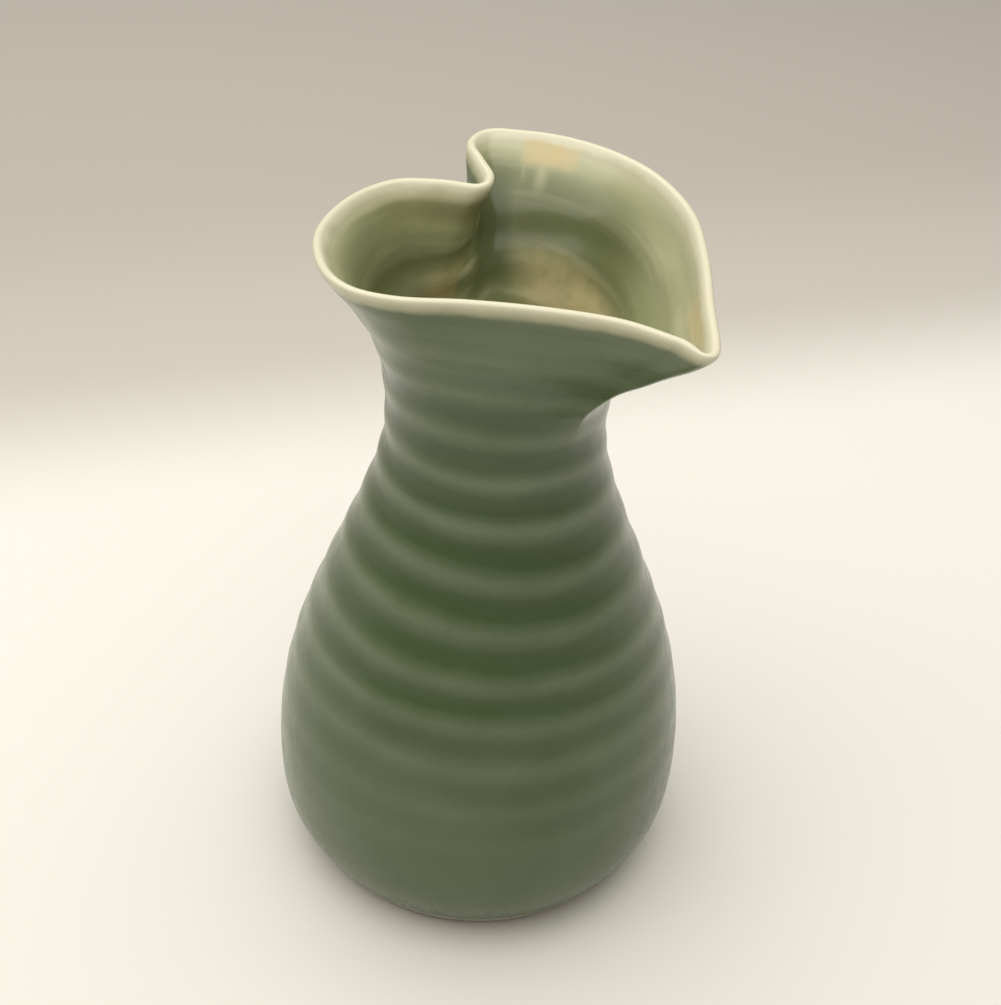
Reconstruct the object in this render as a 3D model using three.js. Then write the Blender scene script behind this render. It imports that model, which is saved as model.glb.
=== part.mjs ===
// Heart-mouthed sake bottle: one thrown clay wall under three coats of glaze.
// Millimetres, +Z up. The origin is the centre of the flat foot and the spout points along +X.
import * as THREE from "three";

// Outer face of the glazed body, [radius, height], from the foot up to the neck's waist.
// The last point mirrors the one below the waist, which keeps the wall upright there.
const PROFILE = [
  [38.5, 0],
  [44.6, 12],
  [45.7, 25],
  [44.3, 40],
  [40.6, 55],
  [34.6, 71],
  [28.5, 86],
  [24, 99],
  [22.2, 110],
  [24, 121],
];

// Crest of the lip, [x, y, z], once round from the spout: back along the left lobe, in and out
// of the fold, round the right lobe, and forward to the spout again.
const RIM = [
  [54, 0, 149.6],
  [42.4, 11.4, 150.4],
  [30.2, 23, 151.1],
  [17.5, 32.8, 151.8],
  [3.3, 38.4, 152.4],
  [-10, 39.4, 152.5],
  [-21.5, 36.5, 152.5],
  [-30, 31, 152.4],
  [-34, 26, 152.4],
  [-32, 20, 152.1],
  [-25.5, 16.8, 151.7],
  [-19, 14, 151],
  [-17.6, 10, 150.4],
  [-23.5, 5, 150.5],
  [-28.8, -2.5, 150.5],
  [-27.2, -14.2, 150.6],
  [-19.8, -26.4, 150.5],
  [-8.6, -34, 150.7],
  [1.5, -36, 151],
  [10, -32, 151.1],
  [18.5, -22.8, 151.1],
  [28.5, -14.5, 151.4],
  [39, -7, 151.3],
  [48.5, -2.8, 150.6],
];

const WALL = 3.6; // body wall, glaze included
const LIP = 2.4; // lip, glaze included
const LIP_ROUNDING = 1.2; // height of the rounded crest of the lip
const FLOOR = 5; // inside floor above the table
const FLOOR_FILLET = 7; // radius where the floor turns up into the wall
const COAT = 0.5; // glaze thickness
const SEAT = 0.1; // gap that keeps the fired coats and the clay separate solids
const FOOT_BEVEL = 1; // small trimmed bevel round the bare foot
const GLAZE_START = 1.8; // the glaze is wiped off below this height
const LIP_BAND = 0.9; // the celadon ends at this share of the mouth's height
const SEAM = 0.01; // share of that height between the celadon and the ivory
const NECK_LEAN = 0.9; // the neck stands this far off the foot's centre
const NECK_LEAN_ANGLE = THREE.MathUtils.degToRad(47.5);
const FLARE_POWER = 2.6; // higher keeps the wall of the mouth upright for longer
const FLARE_EASE = 0.6; // higher straightens the flare again towards the lip
const FLARE_EASE_SPOUT = 0.8; // the spout straightens by this much more, and the fold by less

const POINTS_PER_RIM_STEP = 2;
const WAIST = PROFILE.length - 2; // profile step at the neck's waist
const MOUTH = WAIST + 1; // rise 0..WAIST is the body, and WAIST..MOUTH the mouth
const TURNS = RIM.length * POINTS_PER_RIM_STEP;

const profile = new THREE.SplineCurve(PROFILE.map(([radius, height]) => new THREE.Vector2(radius, height)));
const rim = new THREE.CatmullRomCurve3(
  RIM.map((point) => new THREE.Vector3(...point)),
  true,
  "catmullrom",
  0.5,
);

const mix = THREE.MathUtils.lerp;

// A point of the profile, at a rise from 0 (foot) to WAIST.
function profileAt(rise) {
  return profile.getPoint(rise / (PROFILE.length - 1));
}

// The rise at which the profile reaches a height.
function riseAt(height) {
  let low = 0;
  let high = WAIST;
  while (high - low > 1e-6) {
    const middle = (low + high) / 2;
    if (profileAt(middle).y < height) low = middle;
    else high = middle;
  }
  return low;
}

// Meridians: where each one meets the rim, which way the rim faces there, and its angle round
// the body. Clay doesn't stretch when it is folded, so angle follows length along the rim.
const rimLengths = rim.getLengths(TURNS);
const meridians = Array.from({ length: TURNS }, (_, i) => {
  const crest = rim.getPoint(i / TURNS);
  const tangent = rim.getTangent(i / TURNS);
  return {
    crest,
    facing: new THREE.Vector2(tangent.y, -tangent.x).normalize(),
    angle: (2 * Math.PI * rimLengths[i]) / rimLengths[TURNS],
  };
});

function leanAt(height) {
  const offset = NECK_LEAN * (height / PROFILE[WAIST][1]) ** 2;
  return new THREE.Vector2(Math.cos(NECK_LEAN_ANGLE), Math.sin(NECK_LEAN_ANGLE)).multiplyScalar(offset);
}

function circle(radius, height) {
  const lean = leanAt(height);
  return meridians.map(({ angle }) => {
    return new THREE.Vector3(lean.x + radius * Math.cos(angle), lean.y + radius * Math.sin(angle), height);
  });
}

// Ring of the mouth's outer face, a share of the way from the waist's circle to the rim.
function mouthRing(share) {
  const [waistRadius, waistHeight] = PROFILE[WAIST];
  const waist = circle(waistRadius, waistHeight);
  return meridians.map(({ crest, facing, angle }, i) => {
    const ease = FLARE_EASE + FLARE_EASE_SPOUT * Math.cos(angle);
    const out = share ** FLARE_POWER * (1 + ease * (1 - share));
    const x = mix(waist[i].x, crest.x + (facing.x * LIP) / 2, out);
    const y = mix(waist[i].y, crest.y + (facing.y * LIP) / 2, out);
    return new THREE.Vector3(x, y, mix(waistHeight, crest.z - LIP_ROUNDING, share));
  });
}

// One ring of the wall at a rise, moved level into the wall by a depth.
function ring(rise, depth) {
  const { x: radius, y: height } = profileAt(Math.min(rise, WAIST));
  const outer = rise > WAIST ? mouthRing(rise - WAIST) : circle(radius, height);
  return outer.map((point, i) => {
    const before = outer[(i + TURNS - 1) % TURNS];
    const after = outer[(i + 1) % TURNS];
    const inward = new THREE.Vector2(before.y - after.y, after.x - before.x).setLength(depth);
    return new THREE.Vector3(point.x + inward.x, point.y + inward.y, point.z);
  });
}

// Thickness of the whole wall at a rise.
function wallAt(rise) {
  return mix(WALL, LIP, Math.max(0, rise - WAIST));
}

const steps = (from, to, count) => Array.from({ length: count + 1 }, (_, i) => mix(from, to, i / count));

// Rings up the outer face, sunk into the wall.
function outerFace(rises, sunk) {
  return rises.map((rise) => ring(rise, sunk));
}

// Rings up the inner face, sunk into the wall from the hollow.
function innerFace(rises, sunk) {
  return rises.map((rise) => ring(rise, wallAt(rise) - sunk));
}

// Rings of the rounded floor corner, from the flat floor up to where the wall takes over.
function floorCorner(sunk) {
  const top = profileAt(riseAt(FLOOR + FLOOR_FILLET));
  const centre = top.x - WALL - FLOOR_FILLET;
  return [0, 1 / 3, 2 / 3].map((share) => {
    const turn = (Math.PI / 2) * share;
    const reach = FLOOR_FILLET + sunk;
    return circle(centre + reach * Math.sin(turn), FLOOR + FLOOR_FILLET - reach * Math.cos(turn));
  });
}

// Rings over the crest of the lip, from the outer face to the inner one.
function lipCrest(sunk) {
  const outer = ring(MOUTH, sunk);
  const inner = ring(MOUTH, LIP - sunk);
  return [0.25, 0.5, 0.75].map((share) => {
    const across = (1 - Math.cos(Math.PI * share)) / 2;
    const up = (LIP_ROUNDING - sunk) * Math.sin(Math.PI * share);
    return outer.map((point, i) => {
      const { x, y, z } = point.clone().lerp(inner[i], across);
      return new THREE.Vector3(x, y, z + up);
    });
  });
}

// A closed surface through rings: capped by a point at each end, or joined end to end.
// Each four-sided patch is split from its lower left to its upper right, whichever way the
// rings run, so that two faces which lie on each other are split alike.
function loft(rings, caps) {
  const points = rings.flat();
  const index = [];
  const bands = caps ? rings.length - 1 : rings.length;
  for (let band = 0; band < bands; band++) {
    const next = (band + 1) % rings.length;
    const rising = rings[next][0].z > rings[band][0].z;
    for (let i = 0; i < TURNS; i++) {
      const j = (i + 1) % TURNS;
      const [a, b, c, d] = [band * TURNS + i, band * TURNS + j, next * TURNS + j, next * TURNS + i];
      index.push(...(rising ? [a, b, c, a, c, d] : [a, b, d, b, c, d]));
    }
  }
  if (caps) {
    const first = points.push(caps[0]) - 1;
    const last = points.push(caps[1]) - 1;
    const top = (rings.length - 1) * TURNS;
    for (let i = 0; i < TURNS; i++) {
      const j = (i + 1) % TURNS;
      index.push(first, j, i, top + i, top + j, last);
    }
  }
  const geometry = new THREE.BufferGeometry().setFromPoints(points);
  geometry.setIndex(index);
  geometry.computeVertexNormals();
  return geometry;
}

const axisPoint = (height) => new THREE.Vector3(leanAt(height).x, leanAt(height).y, height);

const SUNK = COAT + SEAT; // depth of the clay under a coat

// Rises where every piece has its rings, so that a coat and the clay under it never cross.
const OUTSIDE_BODY = steps(riseAt(GLAZE_START), WAIST, 9);
const INSIDE_BODY = steps(riseAt(FLOOR + FLOOR_FILLET), WAIST, 8);
const FLARE = steps(WAIST, WAIST + LIP_BAND, 6).slice(1);
const LIP_EDGE = [WAIST + LIP_BAND + SEAM, MOUTH];

// The thrown and fired clay: flat bare foot, wall, and lip.
function clayBody() {
  const rings = [
    circle(profileAt(0).x - SUNK - FOOT_BEVEL, 0),
    ring(riseAt(FOOT_BEVEL), SUNK),
    ...outerFace([...OUTSIDE_BODY, ...FLARE, ...LIP_EDGE], SUNK),
    ...lipCrest(SUNK),
    ...innerFace([...INSIDE_BODY, ...FLARE, ...LIP_EDGE], SUNK).reverse(),
    ...floorCorner(SUNK).reverse(),
  ];
  return loft(rings, [axisPoint(0), axisPoint(FLOOR - SUNK)]);
}

// Celadon over the outside, from just above the foot to the ivory band.
function outsideGlaze() {
  const rises = [...OUTSIDE_BODY, ...FLARE];
  return loft([...outerFace(rises, 0), ...outerFace(rises, COAT).reverse()]);
}

// Ivory coat over the lip, reaching a little way down both faces.
function lipGlaze() {
  const saddle = (sunk) => [
    ...outerFace(LIP_EDGE, sunk),
    ...lipCrest(sunk),
    ...innerFace(LIP_EDGE, sunk).reverse(),
  ];
  return loft([...saddle(0), ...saddle(COAT).reverse()]);
}

// Celadon liner over the floor and up the inside, to the ivory band.
function insideGlaze() {
  const cup = (sunk) => [...floorCorner(sunk), ...innerFace([...INSIDE_BODY, ...FLARE], sunk)];
  return loft([...cup(COAT), ...cup(0).reverse()], [axisPoint(FLOOR - COAT), axisPoint(FLOOR)]);
}

function piece(name, geometry, color, roughness) {
  const mesh = new THREE.Mesh(geometry, new THREE.MeshStandardMaterial({ color, roughness, metalness: 0 }));
  mesh.name = name;
  return mesh;
}

const bottle = new THREE.Group();
bottle.add(
  piece("clay_body", clayBody(), 0xd3cab8, 0.85),
  piece("outside_glaze", outsideGlaze(), 0x66745a, 0.25),
  piece("lip_glaze", lipGlaze(), 0xe8e0c6, 0.3),
  piece("inside_glaze", insideGlaze(), 0x8d9777, 0.25),
);

export default bottle;
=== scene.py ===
"""Heart-mouthed sake bottle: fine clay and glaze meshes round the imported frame.

Metres, +Z up, in the frame's own axes: the foot's centre is the origin and the spout points along +X.
"""

import math

import bpy
import numpy as np
from mathutils import Matrix, Vector

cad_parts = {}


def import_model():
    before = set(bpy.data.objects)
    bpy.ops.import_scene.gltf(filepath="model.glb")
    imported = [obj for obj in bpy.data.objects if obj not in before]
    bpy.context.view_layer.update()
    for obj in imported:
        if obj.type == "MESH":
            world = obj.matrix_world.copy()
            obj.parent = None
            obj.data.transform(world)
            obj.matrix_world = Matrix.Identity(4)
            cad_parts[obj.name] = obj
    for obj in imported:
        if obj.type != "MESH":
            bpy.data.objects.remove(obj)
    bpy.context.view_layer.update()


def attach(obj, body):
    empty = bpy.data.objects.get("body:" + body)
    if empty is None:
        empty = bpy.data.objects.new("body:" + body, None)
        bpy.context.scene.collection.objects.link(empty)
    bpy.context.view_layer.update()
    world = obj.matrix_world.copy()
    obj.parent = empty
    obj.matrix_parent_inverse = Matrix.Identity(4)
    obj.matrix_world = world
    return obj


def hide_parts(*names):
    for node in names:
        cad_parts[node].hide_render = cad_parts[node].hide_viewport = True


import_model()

MM = 0.001

# Outer face of the glazed wall, [radius, height], from the foot up to the neck's waist.
# The last point mirrors the one below the waist.
PROFILE = MM * np.array(
    [
        [38.5, 0],
        [44.6, 12],
        [45.7, 25],
        [44.3, 40],
        [40.6, 55],
        [34.6, 71],
        [28.5, 86],
        [24, 99],
        [22.2, 110],
        [24, 121],
    ]
)

# Crest of the lip, once round from the spout: the lobe towards +Y, the fold, the lobe towards -Y.
RIM = MM * np.array(
    [
        [54, 0, 149.6],
        [42.4, 11.4, 150.4],
        [30.2, 23, 151.1],
        [17.5, 32.8, 151.8],
        [3.3, 38.4, 152.4],
        [-10, 39.4, 152.5],
        [-21.5, 36.5, 152.5],
        [-30, 31, 152.4],
        [-34, 26, 152.4],
        [-32, 20, 152.1],
        [-25.5, 16.8, 151.7],
        [-19, 14, 151],
        [-17.6, 10, 150.4],
        [-23.5, 5, 150.5],
        [-28.8, -2.5, 150.5],
        [-27.2, -14.2, 150.6],
        [-19.8, -26.4, 150.5],
        [-8.6, -34, 150.7],
        [1.5, -36, 151],
        [10, -32, 151.1],
        [18.5, -22.8, 151.1],
        [28.5, -14.5, 151.4],
        [39, -7, 151.3],
        [48.5, -2.8, 150.6],
    ]
)

WALL = 3.6 * MM  # body wall, glaze included
LIP = 2.4 * MM  # lip, glaze included
LIP_ROUNDING = 1.2 * MM
FLOOR = 5 * MM
FLOOR_FILLET = 7 * MM
COAT = 0.5 * MM
SEAT = 0.1 * MM  # gap between the fired coats and the clay
FOOT_BEVEL = 1 * MM
GLAZE_START = 1.8 * MM
GLAZE_ROLL = 0.8 * MM  # height of the rounded lower edge of the outside glaze
LIP_BAND = 0.9  # share of the mouth's height where the ivory piece takes over
NECK_LEAN = 0.9 * MM
NECK_LEAN_ANGLE = math.radians(47.5)
FLARE_POWER = 2.6  # higher keeps the wall of the mouth upright for longer
FLARE_EASE = 0.6  # higher straightens the flare again towards the lip
FLARE_EASE_SPOUT = 0.8  # the spout straightens by this much more, and the fold by less

# Crests of the throwing spiral where it passes the camera's side, from the foot up.
RIDGE_HEIGHTS = MM * np.array(
    [12, 22, 32, 41, 50.8, 59.9, 68.3, 78.6, 88.7, 99, 108.2, 118, 128, 137, 146, 155]
)
RIDGE_SIDE = math.radians(-42.5)  # the camera's side, as an angle round the body
# How far the crests stand out, [height, amplitude].
RIDGE_SIZE = MM * np.array(
    [
        [24, 0],
        [32, 0.02],
        [48, 0.06],
        [58, 0.09],
        [68, 0.12],
        [98, 0.15],
        [109, 0.15],
        [118, 0.12],
        [128, 0.12],
        [140, 0.09],
        [149, 0],
    ]
)
SHADED_SIDE = math.radians(47.5)  # painted shade: the body is painted darker on this side
# how much painted shade darkens that side
SIDE_SHADE_SHARE = 0.1
INNER_RIDGE_PITCH = 8.5 * MM
INNER_RIDGE_SIZE = 0.2 * MM

# Patches on the inner face:
# [step round the rim, depth below the lip, half width in rim steps, half height, strength, crispness].
# Warm blushes in the glaze, and a painted glow and painted shade in the mouth.
BLUSHES_AND_PAINTED_LIGHT = [
    [6.2, 3.4 * MM, 0.62, 4.0 * MM, 1.0, 9],  # square patch under the back of the lip
    [0.8, 3.0 * MM, 0.5, 3.2 * MM, 0.7, 4],  # inside the spout
    [4.7, 31 * MM, 1.8, 6.5 * MM, 0.75, 4],  # painted glow of light at the back of the throat
    [11.9, 26 * MM, 1.2, 7.0 * MM, 0.8, 4],  # and a painted glow under the fold
    [13.0, 5.0 * MM, 2.0, 7.0 * MM, 0.15, 4],  # painted shade with a warm painted reflection on the side of the fold
]
# Painted shade on the inner walls of the mouth, where shade falls.
SHADE_PATCHES = [
    [8.2, 21 * MM, 1.6, 14 * MM, 1.0, 4],  # painted shadow cast by the fold, beside its crease
    [12.8, 5.0 * MM, 1.8, 4.5 * MM, 0.6, 4],  # painted shade under the lip of the fold
    [15.0, 16 * MM, 2.6, 8.5 * MM, 0.8, 4],  # painted shade round the shaded lobe towards -Y
    [5.2, 18 * MM, 2.2, 8.0 * MM, 0.85, 4],  # painted shade deep round the back of the lobe towards +Y
]
# Paler spots: thin glaze, painted light on the lit wall, and a painted reflection.
THIN_SPOTS_AND_PAINTED_LIGHT = [
    [5.5, 1.0 * MM, 3.5, 7.5 * MM, 0.9, 4],  # painted light along the back of the lip, on the wall that faces the light
    [2.2, 6.0 * MM, 2.0, 10 * MM, 0.6, 4],  # painted light on the lit wall that leads to the spout
    [17.6, 5.0 * MM, 2.2, 6.0 * MM, 0.9, 4],  # outer end of the lobe towards -Y
    [6.3, 10.5 * MM, 0.14, 4.0 * MM, 0.9, 4],  # painted reflection of a window: pale streaks below the warm patch
    [6.75, 8.5 * MM, 0.08, 2.5 * MM, 0.7, 4],
]

COLUMNS = 288  # meridians round the fine meshes
SPREAD = 7  # columns each side that set which way the wall faces, so that it never folds at the spout
ROW = 0.9 * MM  # height of a band of faces

VIEW_ANGLE = math.radians(47.5)  # the camera's turn round the bottle, from -Y towards +X
VIEW_RISE = math.radians(36)
VIEW_ROLL = math.radians(2.8)
VIEW_DISTANCE = 0.3135
VIEW_TARGET = Vector((0.0018, 0.0020, 0.088))
LENS = 53.7

STAGE_HALF = 3.0
STAGE_DROP = 0.02 * MM  # keeps the floor clear of the foot
STAGE_SHADE_ANGLE = VIEW_ANGLE + math.radians(16.7)  # the way in which the floor turns greyer with painted shade

WAIST = len(PROFILE) - 2  # a rise of 0..WAIST is the body, and WAIST..MOUTH the mouth
MOUTH = WAIST + 1


# ---------------------------------------------------------------- shape of the wall


def spline(points, at, closed=False):
    """Points of a uniform Catmull-Rom curve; a unit of `at` is one step between its points."""
    at = np.atleast_1d(at)
    step = np.floor(at).astype(int)
    if not closed:
        step = np.clip(step, 0, len(points) - 2)
    share = (at - step)[:, None]
    index = step[:, None] + np.arange(-1, 3)
    index = index % len(points) if closed else np.clip(index, 0, len(points) - 1)
    a, b, c, d = np.moveaxis(points[index], 1, 0)
    slope = c - a
    bend = 2 * a - 5 * b + 4 * c - d
    twist = 3 * b - a - 3 * c + d
    return 0.5 * (2 * b + slope * share + bend * share**2 + twist * share**3)


def unit(vectors):
    return vectors / np.linalg.norm(vectors, axis=-1, keepdims=True)


def mix(a, b, share):
    return a + (b - a) * share


def smooth(low, high, value):
    share = np.clip((value - low) / (high - low), 0, 1)
    return share * share * (3 - 2 * share)


# Meridians: where each meets the rim, which way the rim faces there, and its angle round the body.
rim_at = np.arange(COLUMNS) * len(RIM) / COLUMNS
crest = spline(RIM, rim_at, closed=True)
rim_before = spline(RIM[:, :2], rim_at - 0.01, closed=True)
rim_after = spline(RIM[:, :2], rim_at + 0.01, closed=True)
rim_tangent = rim_after - rim_before
facing = unit(np.column_stack([rim_tangent[:, 1], -rim_tangent[:, 0]]))
rim_steps = np.linalg.norm(np.roll(crest, -1, axis=0) - crest, axis=1)
angle = 2 * math.pi * np.concatenate([[0], np.cumsum(rim_steps)[:-1]]) / rim_steps.sum()


def profile_at(rise):
    return spline(PROFILE, rise)[0]


def rise_at(height):
    rises = np.linspace(0, WAIST, 2001)
    return float(np.interp(height, spline(PROFILE, rises)[:, 1], rises))


def lean_at(height):
    offset = NECK_LEAN * (height / PROFILE[WAIST][1]) ** 2
    return offset * np.array([math.cos(NECK_LEAN_ANGLE), math.sin(NECK_LEAN_ANGLE)])


def circle(radius, height):
    plan = lean_at(height) + radius * np.column_stack([np.cos(angle), np.sin(angle)])
    return np.column_stack([plan, np.full(COLUMNS, height)])


def mouth_ring(share):
    """The mouth's outer face, a share of the way from the waist's circle to the rim."""
    radius, height = PROFILE[WAIST]
    ease = FLARE_EASE + FLARE_EASE_SPOUT * np.cos(angle)
    out = share**FLARE_POWER * (1 + ease * (1 - share))
    plan = mix(circle(radius, height)[:, :2], crest[:, :2] + facing * LIP / 2, out[:, None])
    return np.column_stack([plan, mix(height, crest[:, 2] - LIP_ROUNDING, share)])


def ring(rise, depth):
    """The wall at a rise, moved level into the wall by a depth."""
    radius, height = profile_at(min(rise, WAIST))
    outer = mouth_ring(rise - WAIST) if rise > WAIST else circle(radius, height)
    step = np.roll(outer, -SPREAD, axis=0) - np.roll(outer, SPREAD, axis=0)
    inward = unit(np.column_stack([-step[:, 1], step[:, 0]]))
    return outer + depth * np.column_stack([inward, np.zeros(COLUMNS)])


def wall_at(rise):
    return mix(WALL, LIP, max(0, rise - WAIST))


def rises_between(low, high):
    """Rises about ROW apart in height, the ends included."""
    heights = np.interp([low, high], [0, WAIST, MOUTH], [0, PROFILE[WAIST][1], crest[:, 2].mean()])
    return np.linspace(low, high, 1 + math.ceil((heights[1] - heights[0]) / ROW))


def glaze_edge():
    """Rings of the outside glaze's rounded lower edge, starting inside the wall."""
    rings = []
    for turn in np.linspace(0, math.pi / 2, 6)[:-1]:
        depth = (COAT + 2 * SEAT) * (1 - math.sin(turn))
        rings.append(ring(rise_at(GLAZE_START + GLAZE_ROLL * (1 - math.cos(turn))), depth))
    return rings


def lip_crest():
    outer = ring(MOUTH, 0)
    inner = ring(MOUTH, LIP)
    rings = []
    for turn in np.linspace(0, math.pi, 13)[1:-1]:
        level = mix(outer, inner, (1 - math.cos(turn)) / 2)
        rings.append(level + [0, 0, LIP_ROUNDING * math.sin(turn)])
    return rings


def floor_rings():
    """Rings down the rounded floor corner and in across the flat floor."""
    centre = profile_at(rise_at(FLOOR + FLOOR_FILLET))[0] - WALL - FLOOR_FILLET
    rings = []
    for turn in np.linspace(math.pi / 2, 0, 10)[1:]:
        height = FLOOR + FLOOR_FILLET * (1 - math.cos(turn))
        rings.append(circle(centre + FLOOR_FILLET * math.sin(turn), height))
    rings += [circle(radius, FLOOR) for radius in np.linspace(centre, 2 * MM, 20)[1:]]
    return rings


def build_skin():
    """The whole glazed surface as one grid of rings, and the row numbers where its parts end."""
    edge = glaze_edge()
    body = rises_between(rise_at(GLAZE_START + GLAZE_ROLL), WAIST)[:-1]
    flare = rises_between(WAIST, WAIST + LIP_BAND)
    band = rises_between(WAIST + LIP_BAND, MOUTH)[1:]
    up = [*body, *flare, *band]
    outside = edge + [ring(rise, 0) for rise in up]
    inner_rises = [*rises_between(rise_at(FLOOR + FLOOR_FILLET), WAIST)[:-1], *flare, *band]
    inside = [ring(rise, wall_at(rise)) for rise in reversed(inner_rises)]
    lip = lip_crest()
    marks = {
        "glazed": len(edge),
        "band_outside": len(edge) + len(body) + len(flare) - 1,
        "crest": len(outside) + len(lip) // 2,
        "inside": len(outside) + len(lip),
        "band_inside": len(outside) + len(lip) + len(band),
    }
    return np.array(outside + lip + inside + floor_rings()), marks


def soften_lip(grid, marks):
    """Runs the rounded crest of the lip smoothly into both faces."""
    for _ in range(8):
        rows = slice(marks["band_outside"], marks["band_inside"])
        before = slice(rows.start - 1, rows.stop - 1)
        after = slice(rows.start + 1, rows.stop + 1)
        grid[rows] = mix(grid[rows], (grid[before] + grid[after]) / 2, 0.5)


def grid_normals(grid):
    """Normals of a grid of rings, pointing away from the clay."""
    along = np.gradient(grid, axis=0)
    around = np.roll(grid, -1, axis=1) - np.roll(grid, 1, axis=1)
    return unit(np.cross(around, along))


# ---------------------------------------------------------------- throwing ridges


def wobble(turn, number):
    """Slow unevenness of a hand-thrown spiral, from about -1 to 1."""
    return 0.6 * np.sin(2 * turn + 0.9 * number) + 0.4 * np.sin(3 * turn - 1.7 * number + 1)


def outside_ridges(grid):
    """Height of the spiral ridges, and a share from 0 in the deepest groove to 1 on the highest crest,
    lowered by painted shade on one flank.
    """
    height = grid[..., 2]
    turn = angle[None, :] - RIDGE_SIDE
    number = np.interp(height, RIDGE_HEIGHTS, np.arange(len(RIDGE_HEIGHTS)))
    phase = 2 * math.pi * number + turn + 0.35 * wobble(turn, number)
    share = ((1 + np.cos(phase)) / 2) ** 1.4
    size = np.interp(height, RIDGE_SIZE[:, 0], RIDGE_SIZE[:, 1])
    uneven = 1 + 0.2 * wobble(turn + 1, 0.7 * number)
    contrast = size / RIDGE_SIZE[:, 1].max()
    # Painted shade: the share drops on one flank, so that side of the body is painted darker.
    side_shade = SIDE_SHADE_SHARE * (1 + np.cos(angle[None, :] - SHADED_SIDE))
    return size * uneven * (2 * share - 0.8), 0.5 + (share - 0.5) * contrast - side_shade


def inside_ridges(grid, below):
    height = grid[..., 2]
    turn = angle[None, :]
    number = height / INNER_RIDGE_PITCH
    share = (1 + np.cos(2 * math.pi * number + turn + 0.5 * wobble(turn, number))) / 2
    size = INNER_RIDGE_SIZE * smooth(1.5 * MM, 9 * MM, below) * smooth(FLOOR, 3 * FLOOR, height)
    return size * (2 * share - 1), 0.3 + 0.4 * share


def patches(below, spots):
    """How strongly a set of patches shows on the inner face, from 0 to 1."""
    shown = np.zeros_like(below)
    for step, depth, half_width, half_height, strength, crispness in spots:
        aside = np.abs((rim_at - step + len(RIM) / 2) % len(RIM) - len(RIM) / 2)[None, :]
        reach = (aside / half_width) ** crispness + (np.abs(below - depth) / half_height) ** crispness
        shown = np.maximum(shown, strength * np.exp(-reach))
    return shown


skin, marks = build_skin()
soften_lip(skin, marks)
lengths = np.linalg.norm(np.diff(skin, axis=0), axis=-1)
down = np.concatenate([np.zeros((1, COLUMNS)), np.cumsum(lengths, axis=0)])
below_lip = np.abs(down - down[marks["crest"]])
is_inside = np.arange(len(skin))[:, None] >= marks["crest"]
outer_lift, outer_share_and_shade = outside_ridges(skin)
inner_lift, inner_share = inside_ridges(skin, below_lip)
lift = np.where(is_inside, inner_lift, outer_lift)
lift[: marks["glazed"]] = 0
crest_share_and_shade = np.where(is_inside, inner_share, outer_share_and_shade)
skin = skin + lift[..., None] * grid_normals(skin)
skin_normals = grid_normals(skin)


# ---------------------------------------------------------------- pieces


def loft(name, rings, normals, caps=None):
    """A closed mesh through rings: capped by a point at each end, or joined end to end."""
    count, columns = rings.shape[:2]
    index = np.arange(count * columns).reshape(count, columns)
    lower = index if caps is None else index[:-1]
    upper = np.roll(index, -1, axis=0) if caps is None else index[1:]
    quads = np.stack([lower, np.roll(lower, -1, 1), np.roll(upper, -1, 1), upper], axis=-1)
    faces = quads.reshape(-1, 4).tolist()
    points = rings.reshape(-1, 3).tolist()
    facings = normals.reshape(-1, 3).tolist()
    if caps is not None:
        first = len(points)
        faces += [[first, j, i] for i, j in zip(index[0].tolist(), np.roll(index[0], -1).tolist())]
        faces += [[i, j, first + 1] for i, j in zip(index[-1].tolist(), np.roll(index[-1], -1).tolist())]
        points += [list(point) for point, _ in caps]
        facings += [list(normal) for _, normal in caps]
    mesh = bpy.data.meshes.new(name)
    mesh.from_pydata(points, [], faces)
    mesh.shade_smooth()
    mesh.normals_split_custom_set_from_vertices(facings)
    piece = bpy.data.objects.new(name, mesh)
    bpy.context.scene.collection.objects.link(piece)
    return piece


def add_field(piece, name, values):
    """A number on every vertex, for the material; caps take the last ring's value."""
    flat = np.full(len(piece.data.vertices), values.reshape(-1)[-1], np.float32)
    flat[: values.size] = values.reshape(-1)
    piece.data.attributes.new(name, "FLOAT", "POINT").data.foreach_set("value", flat)


# What the glaze's material reads from every vertex.
fields = {
    # The crest share also carries the painted shade on one flank.
    "crest": crest_share_and_shade,
    "below_lip": below_lip,
    "inside": np.broadcast_to(is_inside, below_lip.shape).astype(float),
    # warm blushes, with a painted glow and painted shade
    "blush_and_painted_light": np.where(is_inside, patches(below_lip, BLUSHES_AND_PAINTED_LIGHT), 0),
    # painted shade on the inner walls
    "painted_shade": np.where(is_inside, patches(below_lip, SHADE_PATCHES), 0),
    # thin glaze, with painted light and a painted reflection
    "thin_and_painted_light": np.where(is_inside, patches(below_lip, THIN_SPOTS_AND_PAINTED_LIGHT), 0),
}


def coat(name, first, last):
    """A fired coat from one row of the skin to another, closed round its hidden side."""
    rows = slice(first, last + 1)
    face = skin[rows]
    back = face - COAT * skin_normals[rows]
    rings = np.concatenate([face, back[::-1]])
    normals = np.concatenate([skin_normals[rows], -skin_normals[rows][::-1]])
    piece = loft(name, rings, normals)
    for field, values in fields.items():
        add_field(piece, field, np.concatenate([values[rows], values[rows][::-1]]))
    return piece


outside_coat = coat("celadon_coat", 0, marks["band_outside"])
lip_coat = coat("ivory_lip", marks["band_outside"], marks["band_inside"])


def liner():
    """The inside coat, which ends in a point at the middle of the floor on both its sides."""
    rows = slice(marks["band_inside"], None)
    face = skin[rows]
    back = face - COAT * skin_normals[rows]
    rings = np.concatenate([back[::-1], face])
    normals = np.concatenate([-skin_normals[rows][::-1], skin_normals[rows]])
    x, y = lean_at(FLOOR)
    caps = [((x, y, FLOOR - COAT), (0, 0, -1)), ((x, y, FLOOR), (0, 0, 1))]
    piece = loft("celadon_liner", rings, normals, caps)
    for field, values in fields.items():
        add_field(piece, field, np.concatenate([values[rows][::-1], values[rows]]))
    return piece


inside_coat = liner()


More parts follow.
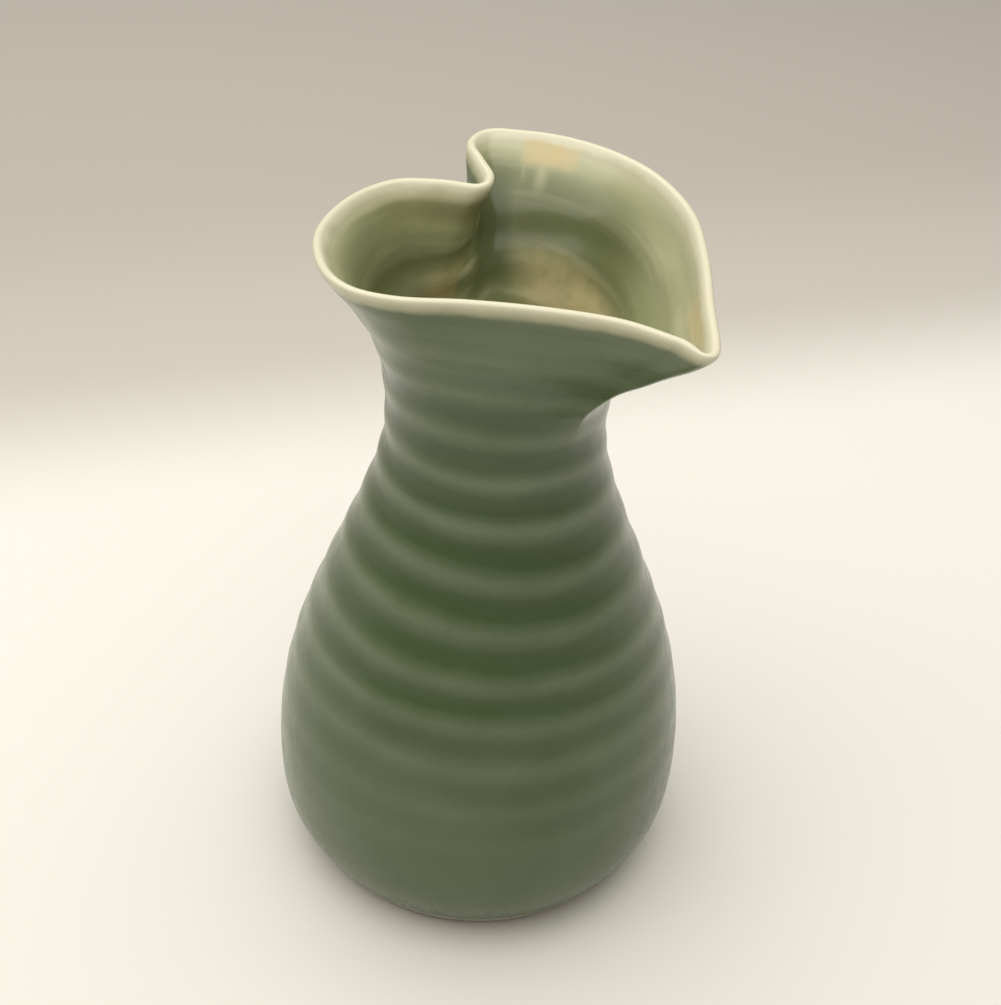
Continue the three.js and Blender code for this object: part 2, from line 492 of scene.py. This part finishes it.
def clay_wall():
    """The clay: bare foot and bevel, then the wall just under the coats, to the inside floor."""
    sunk = COAT + SEAT
    foot_radius = profile_at(0)[0] - sunk
    bottom = [circle(radius, 0) for radius in np.linspace(2 * MM, foot_radius - FOOT_BEVEL, 12)]
    bevel = []
    for share in (0.25, 0.5, 0.75, 1):
        bevel.append(ring(rise_at(FOOT_BEVEL * share), sunk + FOOT_BEVEL * (1 - share)))
    heights = np.linspace(FOOT_BEVEL, GLAZE_START + GLAZE_ROLL, 5)[1:]
    band = [ring(rise_at(height), sunk) for height in heights]
    rows = slice(marks["glazed"] + 1, None)
    under = list(skin[rows] - sunk * skin_normals[rows])
    rings = np.array(bottom + bevel + band + under)
    normals = grid_normals(rings)
    x, y = lean_at(FLOOR)
    caps = [((0, 0, 0), (0, 0, -1)), ((x, y, FLOOR - sunk), (0, 0, 1))]
    return loft("clay_wall", rings, normals, caps)


clay = clay_wall()


# ---------------------------------------------------------------- materials


class Nodes:
    """A material's node tree, with short ways to add and link what it needs."""

    def __init__(self, name, **shader):
        self.material = bpy.data.materials.new(name)
        self.material.use_nodes = True
        self.tree = self.material.node_tree
        self.shader = self.tree.nodes["Principled BSDF"]
        for socket, value in shader.items():
            self.shader.inputs[socket.replace("_", " ")].default_value = value
        self.place = self.add("ShaderNodeTexCoord").outputs["Object"]

    def add(self, kind, settings=None, **inputs):
        """A node; an input is given by its name, or as i0, i1 and so on by its number."""
        node = self.tree.nodes.new(kind)
        for name, value in (settings or {}).items():
            setattr(node, name, value)
        for name, value in inputs.items():
            socket = int(name[1:]) if name[1:].isdigit() else name.replace("_", " ")
            self.put(node.inputs[socket], value)
        return node

    def put(self, socket, value):
        if isinstance(value, bpy.types.NodeSocket):
            self.tree.links.new(value, socket)
        else:
            socket.default_value = value

    def field(self, name):
        return self.add("ShaderNodeAttribute", {"attribute_name": name}).outputs["Fac"]

    def math(self, operation, a, b=0.0):
        return self.add("ShaderNodeMath", {"operation": operation}, i0=a, i1=b).outputs[0]

    def ramp(self, value, low, high, to_low=0.0, to_high=1.0):
        """A smooth step from one number to another."""
        node = self.add("ShaderNodeMapRange", {"interpolation_type": "SMOOTHSTEP"}, Value=value)
        ends = {"From Min": low, "From Max": high, "To Min": to_low, "To Max": to_high}
        for name, number in ends.items():
            node.inputs[name].default_value = number
        return node.outputs[0]

    def noise(self, size, detail=3.0):
        """Noise from 0 to 1 whose features are about `size` metres across."""
        node = self.add("ShaderNodeTexNoise", Vector=self.place, Scale=1 / size, Detail=detail)
        return node.outputs["Fac"]

    def streaks(self, below, width):
        """Noise from 0 to 1 in long streaks of about `width` metres that run along the lip."""
        flat = self.add("ShaderNodeMapping", Vector=self.place, Scale=(0.06, 0.06, 0)).outputs[0]
        depth = self.add("ShaderNodeCombineXYZ", Z=below).outputs[0]
        place = self.add("ShaderNodeVectorMath", {"operation": "ADD"}, i0=flat, i1=depth).outputs[0]
        return self.add("ShaderNodeTexNoise", Vector=place, Scale=1 / width, Detail=3.0).outputs["Fac"]

    def blend(self, share, a, b):
        """Colour a where share is 0, colour b where it is 1."""
        node = self.add("ShaderNodeMix", {"data_type": "RGBA"}, i0=share)
        for socket, colour in ((node.inputs[6], a), (node.inputs[7], b)):
            self.put(socket, colour if isinstance(colour, bpy.types.NodeSocket) else (*colour, 1))
        return node.outputs[2]

    def bump(self, height, distance, strength=1.0):
        node = self.add("ShaderNodeBump", Height=height, Distance=distance, Strength=strength)
        self.put(self.shader.inputs["Normal"], node.outputs[0])


POOLED_GREEN = (0.060, 0.092, 0.032)
BODY_GREEN = (0.092, 0.127, 0.057)
PALE_GREEN = (0.150, 0.185, 0.104)
# painted highlight for the glaze's lower edge
FOOT_EDGE_HIGHLIGHT = (0.400, 0.390, 0.300)
# painted shade for the inner walls
INSIDE_SHADE = (0.095, 0.112, 0.041)
INSIDE_GREEN = (0.225, 0.247, 0.122)
INSIDE_PALE = (0.470, 0.470, 0.290)
# warm blush, also used for a painted glow and painted shade
BLUSH_AND_PAINTED_LIGHT = (0.540, 0.440, 0.220)
CREAM = (0.480, 0.470, 0.310)
IVORY = (0.665, 0.635, 0.470)
CLAY_DARK = (0.300, 0.245, 0.185)
CLAY_LIGHT = (0.440, 0.380, 0.305)
STAGE_NEAR = (0.78, 0.76, 0.70)
# painted shade on the floor beyond the bottle
STAGE_SHADED = (0.520, 0.495, 0.440)
STAGE_DEEP_SHADE = (0.445, 0.418, 0.365)


def ridge_colour(made, inside, streaks):
    """Celadon by how thin it lies: dark in the grooves and pale on the crests of the ridges, and darker
    on one flank by painted shade.
    """
    cloud = made.math("MULTIPLY", made.math("SUBTRACT", made.noise(0.018, 4), 0.5), 0.7)
    thinness_and_shade = made.math("ADD", made.field("crest"), cloud)
    streaky = made.math("MULTIPLY", inside, made.ramp(made.field("below_lip"), 60 * MM, 45 * MM))
    streak = made.math("MULTIPLY", streaky, made.ramp(streaks, 0.3, 0.7, -0.3, 0.3))
    thinness_and_shade = made.math("ADD", thinness_and_shade, streak)
    dark = made.blend(inside, POOLED_GREEN, INSIDE_GREEN)
    middle = made.blend(inside, BODY_GREEN, INSIDE_GREEN)
    pale = made.blend(inside, PALE_GREEN, INSIDE_PALE)
    colour = made.blend(made.ramp(thinness_and_shade, 0.0, 0.5), dark, middle)
    return made.blend(made.ramp(thinness_and_shade, 0.45, 1.05), colour, pale)


def flare_colour(made, colour, inside, streaks, below):
    """Paler streaks along the outside of the flare."""
    reach = made.ramp(below, 36 * MM, 14 * MM)
    share = made.math("MULTIPLY", reach, made.ramp(streaks, 0.35, 0.65, 0.3, 0.8))
    share = made.math("MULTIPLY", share, made.math("SUBTRACT", 1.0, inside))
    return made.blend(share, colour, PALE_GREEN)


def lip_colour(made, colour, inside, below):
    """The fade through cream to ivory at the lip, the warm blushes, and a painted glow and painted shade
    in the mouth.
    """
    # The fade is longer on the inner face.
    length = made.math("ADD", 0.75, made.math("MULTIPLY", inside, 0.2))
    below = made.math("DIVIDE", below, length)
    colour = made.blend(made.ramp(below, 5.6 * MM, 2.8 * MM), colour, CREAM)
    mottle = made.ramp(made.noise(0.003), 0.2, 0.6, 0.6, 1.0)
    # Warm blushes, and a painted glow and painted shade in the mouth.
    colour = made.blend(made.math("MULTIPLY", made.field("blush_and_painted_light"), mottle), colour, BLUSH_AND_PAINTED_LIGHT)
    return made.blend(made.ramp(below, 3.2 * MM, 1.4 * MM), colour, IVORY)


def glaze(name, ior):
    """Celadon that pools dark in the grooves, breaks pale on the crests and turns ivory at the lip, with
    painted light and shade laid into its colour.
    """
    made = Nodes(name, Roughness=0.26, IOR=ior, Coat_Weight=0.1, Coat_Roughness=0.12)
    inside = made.field("inside")
    below = made.field("below_lip")
    streaks = made.streaks(below, 4 * MM)
    colour = ridge_colour(made, inside, streaks)
    # A painted highlight: a paler line along the glaze's lower edge.
    height = made.add("ShaderNodeSeparateXYZ", Vector=made.place).outputs["Z"]
    colour = made.blend(made.ramp(height, 4.8 * MM, 3.6 * MM, 0.0, 0.8), colour, FOOT_EDGE_HIGHLIGHT)
    # The borders of the colours wander a little.
    wander = made.math("MULTIPLY", made.math("SUBTRACT", made.noise(0.006), 0.5), 1.6 * MM)
    below = made.math("ADD", below, wander)
    colour = flare_colour(made, colour, inside, streaks, below)
    # Paler spots: thin glaze, painted light on the lit wall, and a painted reflection.
    colour = made.blend(made.field("thin_and_painted_light"), colour, INSIDE_PALE)
    # Painted shade on the inner walls.
    colour = made.blend(made.field("painted_shade"), colour, INSIDE_SHADE)
    colour = lip_colour(made, colour, inside, below)
    made.put(made.shader.inputs["Base Color"], colour)
    made.put(made.shader.inputs["Roughness"], made.ramp(made.noise(0.004), 0.3, 0.8, 0.22, 0.32))
    made.bump(made.noise(0.0022, 2), 0.02 * MM, 0.35)
    return made.material


def bare_clay():
    made = Nodes("bare_clay", Roughness=0.8)
    colour = made.blend(made.noise(0.0009, 6), CLAY_DARK, CLAY_LIGHT)
    made.put(made.shader.inputs["Base Color"], colour)
    made.bump(made.noise(0.0006, 5), 0.1 * MM, 0.6)
    return made.material


# piece, the node it stands for, its slot, its material
looks = [
    (clay, "clay_body", "bare_clay", bare_clay()),
    (outside_coat, "outside_glaze", "celadon_outside", glaze("celadon_outside", 1.45)),
    (lip_coat, "lip_glaze", "ivory_lip", glaze("ivory_lip", 1.42)),
    (inside_coat, "inside_glaze", "celadon_inside", glaze("celadon_inside", 1.36)),
]
for piece, node, slot, material in looks:
    piece.data.materials.append(material)
    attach(piece, "root")
    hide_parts(node)


# ---------------------------------------------------------------- stage, light and camera

across = Vector((math.cos(VIEW_ANGLE), math.sin(VIEW_ANGLE), 0))
away = Vector((-math.sin(VIEW_ANGLE), math.cos(VIEW_ANGLE), 0))
up = Vector((0, 0, 1))


def stage_floor():
    """A plain pale floor that turns greyer beyond the bottle, as painted shade."""
    square = ((-1, -1), (1, -1), (1, 1), (-1, 1))
    corners = [(STAGE_HALF * x, STAGE_HALF * y, -STAGE_DROP) for x, y in square]
    mesh = bpy.data.meshes.new("floor")
    mesh.from_pydata(corners, [], [(0, 1, 2, 3)])
    made = Nodes("floor", Roughness=0.8)
    about_z = {"rotation_type": "Z_AXIS"}
    turned = made.add("ShaderNodeVectorRotate", about_z, Vector=made.place, Angle=-STAGE_SHADE_ANGLE)
    depth = made.add("ShaderNodeSeparateXYZ", Vector=turned.outputs[0]).outputs["Y"]
    # Painted shade: the floor turns greyer with depth beyond the bottle.
    colour = made.blend(made.ramp(depth, 0.135, 0.225), STAGE_NEAR, STAGE_SHADED)
    colour = made.blend(made.ramp(depth, 0.20, 0.36), colour, STAGE_DEEP_SHADE)
    made.put(made.shader.inputs["Base Color"], colour)
    mesh.materials.append(made.material)
    plane = bpy.data.objects.new("floor", mesh)
    bpy.context.scene.collection.objects.link(plane)


def softbox(name, centre, size, power):
    """A square, slightly warm area light aimed at the bottle's middle."""
    data = bpy.data.lights.new(name, "AREA")
    data.size = size
    data.energy = power
    data.color = (1, 0.97, 0.92)
    light = bpy.data.objects.new(name, data)
    light.location = centre
    light.rotation_euler = (VIEW_TARGET - Vector(centre)).to_track_quat("-Z", "Y").to_euler()
    bpy.context.scene.collection.objects.link(light)


def camera():
    back = (math.sin(VIEW_RISE) * up - math.cos(VIEW_RISE) * away).normalized()
    top = math.cos(VIEW_RISE) * up + math.sin(VIEW_RISE) * away
    right = math.cos(VIEW_ROLL) * across + math.sin(VIEW_ROLL) * top
    data = bpy.data.cameras.new("camera")
    data.lens = LENS
    data.clip_start = 0.01
    made = bpy.data.objects.new("camera", data)
    turn = Matrix((right, back.cross(right), back)).transposed()
    made.matrix_world = Matrix.Translation(VIEW_TARGET + VIEW_DISTANCE * back) @ turn.to_4x4()
    bpy.context.scene.collection.objects.link(made)
    bpy.context.scene.camera = made


def world():
    made = bpy.data.worlds.new("world")
    made.use_nodes = True
    background = made.node_tree.nodes["Background"]
    background.inputs["Color"].default_value = (1.0, 0.97, 0.91, 1)
    background.inputs["Strength"].default_value = 0.3
    bpy.context.scene.world = made


stage_floor()
world()
softbox("overhead", centre=1.0 * up + 0.05 * away - 0.12 * across, size=1.5, power=17)
camera()
bpy.context.scene.view_settings.view_transform = "Standard"
